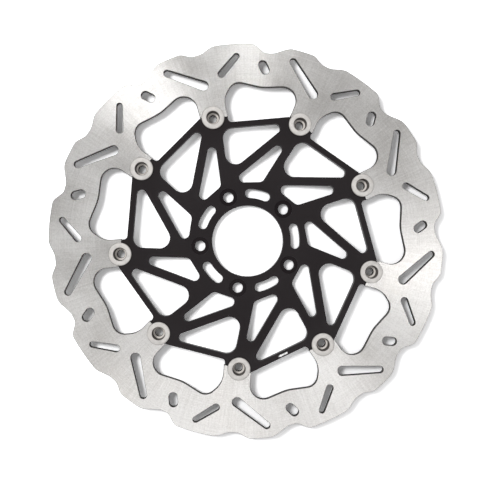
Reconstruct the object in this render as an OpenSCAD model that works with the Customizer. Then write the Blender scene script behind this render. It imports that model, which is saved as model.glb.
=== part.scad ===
// Floating brake disc with a wave edge for a motorcycle's front wheel, outer face up.
// A ground steel friction ring hangs on a dished skeletal carrier of aluminium by nine hollow bobbins.
// The origin is the centre of the spigot bore on the mounting face, and +Z runs along the axle.

/* [Friction ring] */
// Diameter over the lobes
ring_d = 320; // [318:0.5:324]
// Thickness of the friction ring
ring_t = 5; // [4:0.1:5]
// Diameter at the inside of the pad track
track_d = 250; // [247:0.5:253]
// Depth of the deep valley in each wave
deep_valley = 6.9; // [4:0.1:7.5]
// Depth of the shallow valley in each wave
shallow_valley = 4.7; // [2:0.1:6]

/* [Carrier] */
// Thickness of the carrier's arms and ears
carrier_t = 5.5; // [5.2:0.1:7]
// Thickness of the hub
hub_t = 5.5; // [5:0.1:6.5]
// Height of the ears' underside over the hub's mounting face
dish = 5; // [4.2:0.1:6.5]
// Diameter where the arms start to rise from the hub
dish_inner_d = 100; // [98:0.5:106]
// Diameter where the arms reach the level of the ears
dish_outer_d = 178; // [164:0.5:182]
// Diameter of the spigot bore
spigot_d = 58; // [54:0.5:59]
// Diameter of the bolt circle
bolt_circle_d = 78; // [77:0.5:79]
// Diameter of the bolt holes
bolt_hole_d = 8.4; // [8:0.1:9]
// Diameter of the spot-face round each bolt hole
spot_face_d = 14.6; // [13:0.2:15]
// Depth of the spot-face
spot_face_depth = 0.4; // [0.2:0.1:0.8]
// Diameter of the hub ring that the arms grow from
hub_d = 96; // [95:0.5:98]
// Width of the trunk arm under each ear
trunk_w = 6.8; // [6:0.1:8]
// Width of the diagonal brace
brace_w = 6.8; // [6:0.1:8]
// Width of the chord arm from ear to ear
chord_w = 4.7; // [4:0.1:5.4]

/* [Bobbins] */
// Diameter of the circle that the bobbins sit on
bobbin_circle_d = 207; // [206:0.5:208]
// Diameter of the flange
flange_d = 18.4; // [17:0.1:19]
// Thickness of the flange
flange_t = 1.8; // [1.2:0.1:2.4]
// Width of the bevel round the flange's face
flange_bevel = 1; // [0.4:0.1:1.6]
// Diameter of the shank
shank_d = 13; // [12.6:0.1:13.2]
// Diameter of the recess in the flange
recess_d = 10.2; // [9:0.1:10.6]
// Diameter of the hole through the bottom
hole_d = 6; // [5:0.1:6.4]
// Depth of the recess
recess_depth = 6.6; // [5:0.1:7]
// Radial clearance of the shank in its seat
seat_play = 0.06; // [0.04:0.01:0.1]

/* [Fastening] */
// Thickness of the flat washer
washer_t = 1; // [0.8:0.1:1.2]
// Height of the wave washer, crest to crest
wave_h = 1; // [0.8:0.1:1.4]
// Thickness of the wave washer's strip
wave_t = 0.4; // [0.3:0.05:0.5]
// Thickness of the circlip
circlip_t = 1; // [0.8:0.1:1.2]
// Depth of the circlip's groove
groove_depth = 0.3; // [0.2:0.05:0.5]

/* [Hidden] */
bobbins = 9;
pitch = 360 / bobbins;
bolts = 5;
bolt_pitch = 360 / bolts;

$fn = 96;
// Largest gap between a true arc and the straight pieces that stand for it
arc_tol = 0.04;
// Reach of a cut past the face that it opens
cut = 1;
// Small gap between stacked pieces
slack = 0.05;
// Still smaller gap that lets the spring stack seat without touching
seat_gap = 0.02;

ring_r = ring_d / 2;
track_r = track_d / 2;
bobbin_r = bobbin_circle_d / 2;
seat_r = shank_d / 2 + seat_play;
bolt_r = bolt_circle_d / 2;
hub_r = hub_d / 2;
// Radius of the turned blank that the carrier is milled from, past the tips of its ears
blank_r = 125;

// Heights of the stack, from the ears up and then down
carrier_z = dish;
carrier_top = carrier_z + carrier_t;
ring_z = carrier_z + (carrier_t - ring_t) / 2;
flange_z = carrier_top + slack;
washer_z = carrier_z - slack - washer_t;
wave_z = washer_z - seat_gap - wave_h;
circlip_z = wave_z - seat_gap - circlip_t;
groove_low = circlip_z - seat_gap;
groove_high = groove_low + circlip_t + 2 * seat_gap;
rim_h = 0.9;
bobbin_z = groove_low - rim_h;

// Straight edges are lines, each given as its distance from the disc's axis and its direction.
// They are written for the ear on +X, and every wave, arm and window repeats at each bobbin.
trunk = [12.15, -8.1];
brace = [49.7, -67];
chord = [94.9, -100.6];
kite_base = [hub_r, -64.6];
ear_tilt = 13.4;
ear_gap = 0.6;
ear_corner_r = 0.8;
ear_split = [bobbin_r * cos(ear_tilt), -90 - ear_tilt];
carrier_ear_side = [-11.6, 0];
neck_right = [-12.2, 0];
neck_left = [10, 0];
flank_inset = 0.9;
flank_right = [track_r - flank_inset, -118.6];
flank_left = [track_r - flank_inset, -63.6];
shoulder = [70.9, -43.6];

// The wave edge at one bobbin: angle from the bobbin and depth below the lobes
wave_stations = [
    [4.9, 0], [10.5, 0],
    [17.5, deep_valley], [18.6, deep_valley],
    [23.1, 0], [33.6, 0],
    [39.2, shallow_valley], [40.6, shallow_valley]
];
wave_step = 1;

// Cleaning slots and ovals: end points on the ear's frame with the radius at each end
long_slot = [[147.9, 25.8], 2.75, [130.6, 0.4], 3.9];
short_slot = [[146.6, -31.9], 2.35, [135.8, -16.2], 2.85];
oval_centre = [141.4, 18.85];
oval_turn = 30;
oval_r = 3.45;
oval_reach = 2.4;

// Curved slots between the bolt holes
hub_slot_w = 7.4;
hub_slot_span = 19.7;

// Sizes of the small rings under the carrier
washer_play = 0.15;
washer_inner_r = shank_d / 2 + washer_play;
washer_outer_r = 9.5;
wave_play = 0.2;
wave_inner_r = shank_d / 2 + wave_play;
wave_outer_r = 9.2;
waves = 3;
wave_segments = 36;
groove_r = shank_d / 2 - groove_depth;
circlip_inner_r = groove_r + seat_gap;
circlip_outer_r = 7.9;
circlip_offset = 0.3;
lug_r = 1.75;
lug_centre_r = 8;
lug_angle = 27;
lug_hole_r = 0.85;
circlip_gap = 4;

function polar(r, a) = r * [cos(a), sin(a)];
function unit(v) = v / norm(v);
function spin(p, a) = [p.x * cos(a) - p.y * sin(a), p.x * sin(a) + p.y * cos(a)];
function ease(x) = (1 - cos(180 * x)) / 2;
function arc_step(r) = 2 * acos(1 - arc_tol / max(r, 0.1));
function arc_count(r, sweep) = max(1, ceil(abs(sweep) / arc_step(r)));
function arc(centre, r, from, sweep) =
    let (n = arc_count(r, sweep))
    [for (i = [0:n]) centre + polar(r, from + sweep * i / n)];

// A line moved away from the axis, a line turned about the axis, and where two lines cross
function shifted(line, d) = [line[0] + d, line[1]];
function turned(line, a) = [line[0], line[1] + a];
function normal(line) = [-sin(line[1]), cos(line[1])];
function meet(l, m) =
    let (n = normal(l), k = normal(m))
    [l[0] * k.y - m[0] * n.y, n.x * m[0] - k.x * l[0]] / cross(n, k);

// The arc that rounds one corner of an outline
function corner_arc(before, corner, after, r) =
    let (
        a = unit(before - corner),
        b = unit(after - corner),
        half = acos(a * b) / 2,
        centre = corner + unit(a + b) * r / sin(half),
        start = corner + a * r / tan(half) - centre,
        end = corner + b * r / tan(half) - centre,
        from = atan2(start.y, start.x),
        sweep = (atan2(end.y, end.x) - from + 540) % 360 - 180
    )
    arc(centre, r, from, sweep);

// A closed outline from a list of [corner, radius]
function rounded(corners) =
    let (n = len(corners))
    [for (i = [0:n - 1])
        each corner_arc(
            corners[(i + n - 1) % n][0], corners[i][0], corners[(i + 1) % n][0], corners[i][1]
        )];

// The same corners repeated at every bobbin
function all_round(corners) =
    [for (k = [0:bobbins - 1], c = corners) [spin(c[0], k * pitch), c[1]]];

// A slot with round ends of two sizes
function slot_outline(s) =
    let (
        along = s[2] - s[0],
        dir = atan2(along.y, along.x),
        lean = acos((s[1] - s[3]) / norm(along))
    )
    concat(
        arc(s[0], s[1], dir + lean, 360 - 2 * lean),
        arc(s[2], s[3], dir - lean, 2 * lean)
    );

function wave_edge() =
    let (n = len(wave_stations))
    [for (k = [0:bobbins - 1], i = [0:n - 1])
        let (
            a = wave_stations[i],
            b = i + 1 < n ? wave_stations[i + 1] : wave_stations[0] + [pitch, 0],
            steps = ceil((b[0] - a[0]) / wave_step)
        )
        for (j = [0:steps - 1])
            let (x = j / steps, depth = a[1] + (b[1] - a[1]) * ease(x))
            polar(ring_r - depth, k * pitch + a[0] + (b[0] - a[0]) * x)];

function ring_inside() =
    let (ear_end = shifted(ear_split, ear_gap / 2))
    rounded(all_round([
        [meet(flank_right, shoulder), 9.5],
        [meet(shoulder, neck_right), 18],
        [meet(neck_right, ear_end), ear_corner_r],
        [meet(ear_end, neck_left), ear_corner_r],
        [meet(neck_left, flank_left), 11],
        [meet(flank_left, turned(flank_right, pitch)), 35]
    ]));

function carrier_outside() =
    let (
        ear_end = shifted(ear_split, -ear_gap / 2),
        chord_edge = shifted(chord, chord_w / 2)
    )
    rounded(all_round([
        [meet(chord_edge, carrier_ear_side), 3],
        [meet(carrier_ear_side, ear_end), ear_corner_r],
        [meet(ear_end, turned(chord_edge, pitch)), ear_corner_r]
    ]));

function large_window() =
    let (
        trunk_edge = shifted(trunk, -trunk_w / 2),
        chord_edge = shifted(chord, -chord_w / 2),
        brace_edge = shifted(brace, brace_w / 2)
    )
    rounded([
        [meet(trunk_edge, chord_edge), 8],
        [meet(brace_edge, trunk_edge), 8.5],
        [meet(chord_edge, brace_edge), 3.9]
    ]);

function kite_window() =
    let (
        trunk_edge = shifted(trunk, trunk_w / 2),
        brace_edge = turned(shifted(brace, -brace_w / 2), pitch)
    )
    rounded([
        [meet(trunk_edge, brace_edge), 3.6],
        [meet(brace_edge, kite_base), 4],
        [meet(kite_base, trunk_edge), 5]
    ]);

function hub_slot() =
    let (half = hub_slot_span / 2, r = hub_slot_w / 2)
    concat(
        arc([0, 0], bolt_r + r, -half, hub_slot_span),
        arc(polar(bolt_r, half), r, half, 180),
        arc([0, 0], bolt_r - r, half, -hub_slot_span),
        arc(polar(bolt_r, -half), r, 180 - half, 180)
    );

function oval_slot() =
    let (
        middle = polar(oval_centre[0], oval_centre[1]),
        reach = polar(oval_reach, oval_centre[1] + oval_turn)
    )
    [middle - reach, oval_r, middle + reach, oval_r];

module at_bobbins() {
    for (k = [0:bobbins - 1])
        rotate(k * pitch) children();
}

module at_bolts() {
    for (k = [0:bolts - 1])
        rotate(k * bolt_pitch) children();
}

module on_bobbin(k) {
    rotate((k - 1) * pitch) translate([bobbin_r, 0, 0]) children();
}

module bobbin_seats() {
    at_bobbins() translate([bobbin_r, 0]) circle(seat_r);
}

module flat_ring(inner_r, outer_r, h) {
    linear_extrude(h) difference() {
        circle(outer_r);
        circle(inner_r);
    }
}

module rotor_ring() {
    color("#b9b7b4")
    translate([0, 0, ring_z])
    linear_extrude(ring_t)
    difference() {
        polygon(wave_edge());
        polygon(ring_inside());
        bobbin_seats();
        at_bobbins() {
            polygon(slot_outline(long_slot));
            polygon(slot_outline(short_slot));
            polygon(slot_outline(oval_slot()));
        }
    }
}

// The turned blank: a flat hub, a cone that carries the arms and a flat rim for the ears
module carrier_blank() {
    spigot_r = spigot_d / 2;
    foot_r = dish_inner_d / 2;
    rim_r = dish_outer_d / 2;
    rotate_extrude() polygon([
        [spigot_r, 0],
        [foot_r, 0],
        [rim_r, carrier_z],
        [blank_r, carrier_z],
        [blank_r, carrier_top],
        [rim_r, carrier_top],
        [foot_r, hub_t],
        [spigot_r, hub_t]
    ]);
}

module carrier() {
    color("#2a2627")
    difference() {
        intersection() {
            carrier_blank();
            translate([0, 0, -cut]) linear_extrude(carrier_top + 2 * cut) difference() {
                polygon(carrier_outside());
                bobbin_seats();
                at_bobbins() {
                    polygon(large_window());
                    polygon(kite_window());
                }
                at_bolts() {
                    translate([bolt_r, 0]) circle(bolt_hole_d / 2);
                    rotate(bolt_pitch / 2) polygon(hub_slot());
                }
            }
        }
        at_bolts()
            translate([bolt_r, 0, hub_t - spot_face_depth])
            cylinder(d = spot_face_d, h = spot_face_depth + cut);
    }
}

module bobbin(k) {
    edge = 0.3;
    bevel_drop = 0.6;
    top = flange_z + flange_t;
    floor_z = top - recess_depth;
    floor_cone = 0.8;
    color("#cfcac3")
    on_bobbin(k)
    rotate_extrude()
    polygon([
        [hole_d / 2, bobbin_z],
        [shank_d / 2 - edge, bobbin_z],
        [shank_d / 2, bobbin_z + edge],
        [shank_d / 2, groove_low],
        [groove_r, groove_low],
        [groove_r, groove_high],
        [shank_d / 2, groove_high],
        [shank_d / 2, flange_z],
        [flange_d / 2, flange_z],
        [flange_d / 2, top - bevel_drop],
        [flange_d / 2 - flange_bevel, top],
        [recess_d / 2 + edge, top],
        [recess_d / 2, top - edge],
        [recess_d / 2, floor_z],
        [hole_d / 2, floor_z - floor_cone]
    ]);
}

module flat_washer(k) {
    color("#a8a6a2")
    on_bobbin(k) translate([0, 0, washer_z])
        flat_ring(washer_inner_r, washer_outer_r, washer_t);
}

module wave_washer(k) {
    n = wave_segments;
    swing = (wave_h - wave_t) / 2;
    middle = wave_z + wave_h / 2;
    // Rings of points: bottom inner, bottom outer, top outer, top inner
    rings = [
        [wave_inner_r, -wave_t / 2], [wave_outer_r, -wave_t / 2],
        [wave_outer_r, wave_t / 2], [wave_inner_r, wave_t / 2]
    ];
    points = [for (i = [0:n - 1], c = rings)
        let (a = 360 * i / n, p = polar(c[0], a))
        [p.x, p.y, middle + c[1] + swing * cos(waves * a)]];
    faces = [for (i = [0:n - 1], j = [0:3])
        let (here = 4 * i, next = 4 * ((i + 1) % n), up = (j + 1) % 4)
        each [
            [here + j, here + up, next + up],
            [here + j, next + up, next + j]
        ]];
    color("#8f8c86")
    on_bobbin(k) polyhedron(points, faces);
}

module circlip(k) {
    color("#3b3a3d")
    on_bobbin(k) translate([0, 0, circlip_z])
    linear_extrude(circlip_t)
    difference() {
        union() {
            translate([-circlip_offset, 0]) circle(circlip_outer_r);
            for (side = [-1, 1])
                translate(polar(lug_centre_r, side * lug_angle)) circle(lug_r);
        }
        circle(circlip_inner_r);
        translate([0, -circlip_gap / 2]) square([washer_outer_r + cut, circlip_gap]);
        for (side = [-1, 1])
            translate(polar(lug_centre_r, side * lug_angle)) circle(lug_hole_r);
    }
}

rotor_ring();
carrier();
for (k = [1:bobbins]) {
    bobbin(k);
    flat_washer(k);
    wave_washer(k);
    circlip(k);
}
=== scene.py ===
"""Floating brake disc: the finished pieces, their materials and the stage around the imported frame."""

import cmath
import math
from collections import namedtuple

import bmesh
import bpy
from mathutils import Matrix, Vector
from mathutils.geometry import delaunay_2d_cdt


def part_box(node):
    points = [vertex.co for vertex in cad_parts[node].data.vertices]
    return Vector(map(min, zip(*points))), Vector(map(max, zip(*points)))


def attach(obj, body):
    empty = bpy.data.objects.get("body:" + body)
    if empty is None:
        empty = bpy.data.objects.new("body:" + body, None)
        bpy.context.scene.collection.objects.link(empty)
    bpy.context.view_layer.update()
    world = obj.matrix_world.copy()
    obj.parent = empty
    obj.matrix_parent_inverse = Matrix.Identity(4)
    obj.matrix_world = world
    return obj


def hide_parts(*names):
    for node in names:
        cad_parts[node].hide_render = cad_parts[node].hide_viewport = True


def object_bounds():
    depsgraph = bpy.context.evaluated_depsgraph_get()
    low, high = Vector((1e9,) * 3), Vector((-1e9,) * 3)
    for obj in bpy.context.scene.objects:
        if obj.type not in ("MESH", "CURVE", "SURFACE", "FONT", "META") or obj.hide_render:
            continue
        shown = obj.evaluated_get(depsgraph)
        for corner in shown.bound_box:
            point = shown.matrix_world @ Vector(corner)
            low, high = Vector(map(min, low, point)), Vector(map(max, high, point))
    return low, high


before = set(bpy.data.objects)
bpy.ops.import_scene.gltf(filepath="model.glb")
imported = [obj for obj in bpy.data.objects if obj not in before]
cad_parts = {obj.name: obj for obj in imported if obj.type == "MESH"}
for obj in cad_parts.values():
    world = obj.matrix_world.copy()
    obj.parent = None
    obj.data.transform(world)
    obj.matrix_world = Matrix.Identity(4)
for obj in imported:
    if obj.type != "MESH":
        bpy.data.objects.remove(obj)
CAD_BOX = [list(corner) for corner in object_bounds()]

bl_info = {
    "name": "Floating Brake Disc",
    "version": (1, 0, 0),
    "blender": (4, 5, 0),
    "location": "View3D > Sidebar > Brake Disc",
    "description": "Models and finishes a floating wave-edge brake disc on its packed frame",
    "category": "Object",
}

MM = 0.001
BOBBINS = sum(name.startswith("bobbin_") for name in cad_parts)
PITCH = 360 / BOBBINS
BOLTS = 5
BOLT_PITCH = 360 / BOLTS

# Heights and radii that the frame already fixes, from the node boxes
RING_LOW, RING_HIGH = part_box("rotor_ring")
CARRIER_LOW, CARRIER_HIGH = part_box("carrier")
BOBBIN_LOW, BOBBIN_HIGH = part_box("bobbin_1")
WASHER_LOW, WASHER_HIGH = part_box("flat_washer_1")
SPRING_LOW, SPRING_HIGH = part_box("wave_washer_1")
CLIP_LOW, CLIP_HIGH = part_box("circlip_1")
BOBBIN_CIRCLE = (BOBBIN_LOW.x + BOBBIN_HIGH.x) / 2

# Largest gap between a true arc and the straight pieces that stand for it
ARC_TOLERANCE = 0.005 * MM
# Points closer than this are one point
WELD = 0.001 * MM
# The same for the corners of a flat face, in millimetres
CAP_TOLERANCE = 0.0001
# Triangulation that keeps only what lies inside an outline
INSIDE_ONLY = 1
# Longest straight edge along an arm that rises
ARM_STEP = 3 * MM
# Faces that meet at more than this angle keep a crisp edge
CRISP_ANGLE = math.radians(30)

AXLE = (0, 0, 1)

# Marks on the faces of a plate, read by the materials, and how far a reading may be off
FLAT, WALL, RIM, SEAT = 0.0, 1.0, 2.0, 3.0
MARK_REACH = 0.5


def length(name, description, default):
    """A size that the sidebar shows with its unit."""
    return bpy.props.FloatProperty(
        name=name, description=description, default=default, unit="LENGTH", precision=5
    )


def colour(name, description, default):
    """A linear colour that the sidebar shows as a swatch."""
    return bpy.props.FloatVectorProperty(
        name=name, description=description, default=default, subtype="COLOR", min=0, max=1
    )


def share(name, description, default):
    """A part of one, such as a roughness."""
    return bpy.props.FloatProperty(
        name=name, description=description, default=default, subtype="FACTOR", min=0, max=1
    )


def strength(name, description, default):
    """A number from nothing upwards, such as a lamp's strength."""
    return bpy.props.FloatProperty(name=name, description=description, default=default, min=0)


class RingSettings(bpy.types.PropertyGroup):
    """Sizes of the friction ring"""

    outer_radius: length("Outer radius", "Radius over the lobes", RING_HIGH.y)
    track_radius: length("Track radius", "Inside of the pad track", 125 * MM)
    deep_valley: length("Deep valley", "Depth of the deep valley in each wave", 6.9 * MM)
    shallow_valley: length("Shallow valley", "Depth of the shallow valley", 4.7 * MM)
    edge_break: length("Edge break", "Chamfer left by deburring", 0.3 * MM)


class CarrierSettings(bpy.types.PropertyGroup):
    """Sizes of the carrier"""

    spigot_radius: length("Spigot radius", "Radius of the centre bore", 29 * MM)
    bolt_circle: length("Bolt circle", "Radius of the bolt circle", 39 * MM)
    bolt_hole: length("Bolt hole", "Radius of each bolt hole", 4.2 * MM)
    spot_face: length("Spot-face", "Radius of the spot-face round a bolt hole", 7.3 * MM)
    spot_depth: length("Spot-face depth", "Depth of the spot-face", 0.4 * MM)
    hub_radius: length("Hub radius", "Radius of the ring that the arms grow from", 48 * MM)
    thickness: length("Thickness", "Thickness of the hub, the arms and the ears", 5.5 * MM)
    foot_radius: length("Foot radius", "Where the arms start to rise from the hub", 50 * MM)
    rim_radius: length("Rim radius", "Where the arms reach the level of the ears", 89 * MM)
    trunk_width: length("Trunk width", "Width of the arm under each ear", 6.8 * MM)
    brace_width: length("Brace width", "Width of the diagonal brace", 6.8 * MM)
    chord_width: length("Chord width", "Width of the arm from ear to ear", 4.7 * MM)
    edge_break: length("Edge break", "Chamfer along every edge", 0.35 * MM)


class BobbinSettings(bpy.types.PropertyGroup):
    """Sizes of the bobbins"""

    flange_thickness: length("Flange", "Thickness of the flange", 1.8 * MM)
    shank_radius: length("Shank", "Radius of the shank", 6.5 * MM)
    recess_radius: length("Recess", "Radius of the recess in the flange", 5.1 * MM)
    recess_depth: length("Recess depth", "Depth of the recess", 6.6 * MM)
    hole_radius: length("Hole", "Radius of the hole through the bottom", 3 * MM)
    seat_play: length("Seat play", "Radial clearance of the shank in its seat", 0.06 * MM)
    edge_break: length("Edge break", "Chamfer on the turned edges", 0.3 * MM)


class FasteningSettings(bpy.types.PropertyGroup):
    """Sizes of the washers and circlips under the carrier"""

    washer_bore: length("Washer bore", "Inner radius of the flat washer", 6.65 * MM)
    spring_bore: length("Spring bore", "Inner radius of the wave washer", 6.7 * MM)
    spring_strip: length("Spring strip", "Thickness of the wave washer's strip", 0.4 * MM)
    clip_bore: length("Circlip bore", "Inner radius of the circlip", 6.22 * MM)
    clip_outer: length("Circlip outside", "Radius of the circlip's outer edge", 7.9 * MM)
    clip_gap: length("Circlip gap", "Opening between the circlip's lugs", 4 * MM)
    groove_depth: length("Groove depth", "Depth of the circlip's groove", 0.3 * MM)
    edge_break: length("Edge break", "Rounding of the stamped edges", 0.12 * MM)


class FinishSettings(bpy.types.PropertyGroup):
    """Colours and roughness of the materials"""

    ring_steel: colour("Ground steel", "Friction ring", (0.72, 0.708, 0.694))
    ring_shade: colour("Steel shade", "Darker streaks of the ground steel", (0.49, 0.474, 0.456))
    # Near-black walls and broken edges of the ring: the darker cut finish plus painted shade
    ring_wall_shade: colour("Cut steel", "Walls of the friction ring's openings", (0.045, 0.042, 0.04))
    ring_roughness: share("Ring roughness", "Roughness of the ground faces", 0.32)
    carrier_black: colour("Black anodising", "Carrier", (0.0074, 0.0046, 0.0055))
    carrier_edge: colour("Anodised edge", "Chamfers of the carrier", (0.03, 0.028, 0.03))
    carrier_roughness: share("Carrier roughness", "Roughness of the anodising", 0.42)
    bobbin_steel: colour("Turned steel", "Bobbins", (0.63, 0.605, 0.58))
    # Recess colours are painted light: a painted highlight on its floor, and painted shade on its wall
    # and round its hole
    bobbin_hollow_highlight: colour("Drilled steel", "Floor of the recess in the bobbins", (0.8, 0.75, 0.7))
    bobbin_bore_shade: colour("Bored steel", "Wall of the recess in the bobbins", (0.06, 0.052, 0.045))
    bobbin_roughness: share("Bobbin roughness", "Roughness of the turned steel", 0.52)
    washer_steel: colour("Zinc plate", "Flat washers", (0.5, 0.5, 0.49))
    washer_roughness: share("Washer roughness", "Roughness of the zinc plate", 0.4)
    spring_steel: colour("Spring steel", "Wave washers", (0.3, 0.29, 0.28))
    spring_roughness: share("Spring roughness", "Roughness of the spring steel", 0.38)
    clip_steel: colour("Phosphated steel", "Circlips", (0.04, 0.04, 0.043))
    clip_roughness: share("Circlip roughness", "Roughness of the phosphated steel", 0.5)
    mark_paint: colour("Mark paint", "Arrow that shows the running direction", (0.85, 0.85, 0.85))
    mark_roughness: share("Mark roughness", "Roughness of the paint", 0.55)


class StageSettings(bpy.types.PropertyGroup):
    """Floor, light and camera"""

    floor_size: length("Floor size", "Width of the pale floor", 8.0)
    floor_colour: colour("Floor", "Colour of the floor", (0.35, 0.35, 0.352))
    floor_gain: strength("Floor gain", "How much brighter the lens takes the floor", 4.1)
    camera_height: length("Camera height", "Height of the lens over the ring", 539 * MM)
    sky_light: share("Sky light", "Strength of the sky straight overhead", 0.44)
    key_light: strength("Key light", "Strength of the main lamp", 2.0)
    fan_light: strength("Fan light", "Strength of the lamps that the steel mirrors", 0.28)


# Plane geometry. A point of the disc's plane is a complex number, in metres from the axle.

Line = namedtuple("Line", "distance direction")


def polar(radius, degrees):
    """The point at a radius and an angle."""
    return cmath.rect(radius, math.radians(degrees))


def unit(vector):
    """The same direction with a length of one."""
    return vector / abs(vector)


def normal(line):
    """The direction square to a line, a quarter turn to its left."""
    return polar(1, line.direction + 90)


def shifted(line, distance):
    """A line moved along its normal."""
    return Line(line.distance + distance, line.direction)


def turned(line, degrees):
    """A line turned about the axle."""
    return Line(line.distance, line.direction + degrees)


def meet(a, b):
    """Where two lines cross."""
    across = (normal(a).conjugate() * normal(b)).imag
    return 1j * (b.distance * normal(a) - a.distance * normal(b)) / across


def arc(centre, start, sweep):
    """Points from start round the centre through a sweep in radians."""
    step = 2 * math.acos(1 - ARC_TOLERANCE / abs(start - centre))
    count = max(2, math.ceil(abs(sweep) / step))
    return [centre + (start - centre) * cmath.rect(1, sweep * i / count) for i in range(count + 1)]


def circle(centre, radius):
    """A closed circle."""
    return arc(centre, centre + radius, math.tau)[:-1]


def corner_arc(before, corner, after, radius):
    """The arc that rounds one corner of an outline."""
    a = unit(before - corner)
    b = unit(after - corner)
    half = abs(cmath.phase(b / a)) / 2
    centre = corner + unit(a + b) * radius / math.sin(half)
    start = corner + a * radius / math.tan(half)
    end = corner + b * radius / math.tan(half)
    return arc(centre, start, cmath.phase((end - centre) / (start - centre)))


def rounded(corners):
    """A closed outline from a list of (corner, radius)."""
    points = []
    for i, (corner, radius) in enumerate(corners):
        before = corners[i - 1][0]
        after = corners[(i + 1) % len(corners)][0]
        points += corner_arc(before, corner, after, radius)
    return points


def spun(points, degrees):
    """Points turned about the axle."""
    return [point * polar(1, degrees) for point in points]


def all_round(points, count):
    """The same stretch of an outline repeated round the axle."""
    return [point for k in range(count) for point in spun(points, k * 360 / count)]


def inset(outline, distance):
    """A closed outline moved to its left, where the solid lies."""
    moved = []
    for i, here in enumerate(outline):
        before = unit(here - outline[i - 1]) * 1j
        after = unit(outline[(i + 1) % len(outline)] - here) * 1j
        middle = unit(before + after)
        slant = (middle.conjugate() * before).real
        moved.append(here + middle * distance / slant)
    return moved


def stepped(outline, step):
    """A closed outline with points added along its long straight edges."""
    points = []
    for i, here in enumerate(outline):
        there = outline[(i + 1) % len(outline)]
        count = math.ceil(abs(there - here) / step)
        points += [here + (there - here) * j / count for j in range(count)]
    return points


def hole(outline):
    """An outline drawn the other way round, so that the solid lies on its left."""
    return outline[::-1]


def nearest(outline, point):
    """Number of the outline's point that lies closest to a point."""
    return min(range(len(outline)), key=lambda i: abs(outline[i] - point))


# Straight edges of the ear on +X and its arms, each with its distance from the axle and its
# direction. Every wave, arm and window repeats at each bobbin.
TRUNK = Line(12.15 * MM, -8.1)
BRACE = Line(49.7 * MM, -67)
CHORD = Line(94.9 * MM, -100.6)
KITE_BASE_DIRECTION = -64.6
EAR_TILT = 13.4
EAR_GAP = 0.6 * MM
EAR_CORNER = 0.8 * MM
EAR_SPLIT = Line(BOBBIN_CIRCLE * math.cos(math.radians(EAR_TILT)), -90 - EAR_TILT)
CARRIER_EAR_SIDE = Line(-11.6 * MM, 0)
NECK_RIGHT = Line(-12.2 * MM, 0)
NECK_LEFT = Line(10 * MM, 0)
FLANK_INSET = 0.9 * MM
FLANK_RIGHT_DIRECTION = -118.6
FLANK_LEFT_DIRECTION = -63.6
SHOULDER = Line(70.9 * MM, -43.6)

# Cleaning slots at one ear: centre and radius of each round end
LONG_SLOT = ((147.9 + 25.8j) * MM, 2.75 * MM, (130.6 + 0.4j) * MM, 3.9 * MM)
SHORT_SLOT = ((146.6 - 31.9j) * MM, 2.35 * MM, (135.8 - 16.2j) * MM, 2.85 * MM)
OVAL_ANGLE = 18.85
OVAL_LEAN = 30
OVAL_CENTRE = polar(141.4 * MM, OVAL_ANGLE)
OVAL_REACH = polar(2.4 * MM, OVAL_ANGLE + OVAL_LEAN)
OVAL_RADIUS = 3.45 * MM
OVAL_SLOT = (OVAL_CENTRE - OVAL_REACH, OVAL_RADIUS, OVAL_CENTRE + OVAL_REACH, OVAL_RADIUS)

# Curved slots between the bolt holes
HUB_SLOT_HALF_WIDTH = 3.7 * MM
HUB_SLOT_SPAN = 19.7

# Where one slice of the ring is parted from the next, clear of every slot
RING_PARTING = 24
# Degrees from the bobbin to the first lobe, and between the points of the wave edge
LOBE_START = 4.9
WAVE_STEP = 0.25

# Play of the circlip in its groove, cone in the floor of a bobbin's recess, and the shallow bevel
# round the face of its flange
GROOVE_PLAY = 0.02 * MM
RECESS_CONE = 0.8 * MM
FLANGE_BEVEL = 1 * MM
FLANGE_DROP = 0.6 * MM

# The lugs of a circlip, and how far its outer edge sits off its bore
CLIP_OFFSET = 0.3 * MM
CLIP_LUG_CIRCLE = 8 * MM
CLIP_LUG_ANGLE = 27
CLIP_LUG_RADIUS = 1.75 * MM
CLIP_LUG_HOLE = 0.85 * MM

# The printed arrow: its sizes, the arm that carries it, and its place along and off that arm's middle
MARK_THICKNESS = 0.03 * MM
MARK_LINE = 1.4 * MM
MARK_LENGTH = 8.2 * MM
MARK_HEAD = 2.4 * MM
MARK_BARB = 1.15 * MM
MARK_ARM = 3
MARK_ALONG = 13.8 * MM
MARK_OFFSET = 0.45 * MM

# Straight pieces round a bolt hole and round a turned piece
HOLE_STEPS = 64
LATHE_STEPS = 96


def notch(line, outwards):
    """The half-round seat that a bobbin needs in the end of an ear."""
    settings = bpy.context.scene.disc_bobbins
    radius = settings.shank_radius + settings.seat_play
    away = line.distance - (normal(line).conjugate() * BOBBIN_CIRCLE).real
    foot = BOBBIN_CIRCLE + normal(line) * away
    reach = math.sqrt(radius**2 - away**2)
    start = foot + polar(reach, line.direction)
    end = foot - polar(reach, line.direction)
    sweep = cmath.phase((end - BOBBIN_CIRCLE) / (start - BOBBIN_CIRCLE)) % math.tau
    return arc(BOBBIN_CIRCLE, start, sweep if outwards else sweep - math.tau)


def ear_outline(corners, notch_after, seat):
    """One ear's stretch of an outline: rounded corners, with the seat after one of them."""
    def corner(i):
        return corners[i % len(corners)][0] * polar(1, PITCH * (i // len(corners)))

    points = []
    for i in range(len(corners)):
        points += corner_arc(corner(i - 1), corner(i), corner(i + 1), corners[i][1])
        if i == notch_after:
            points += seat
    return points


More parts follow.
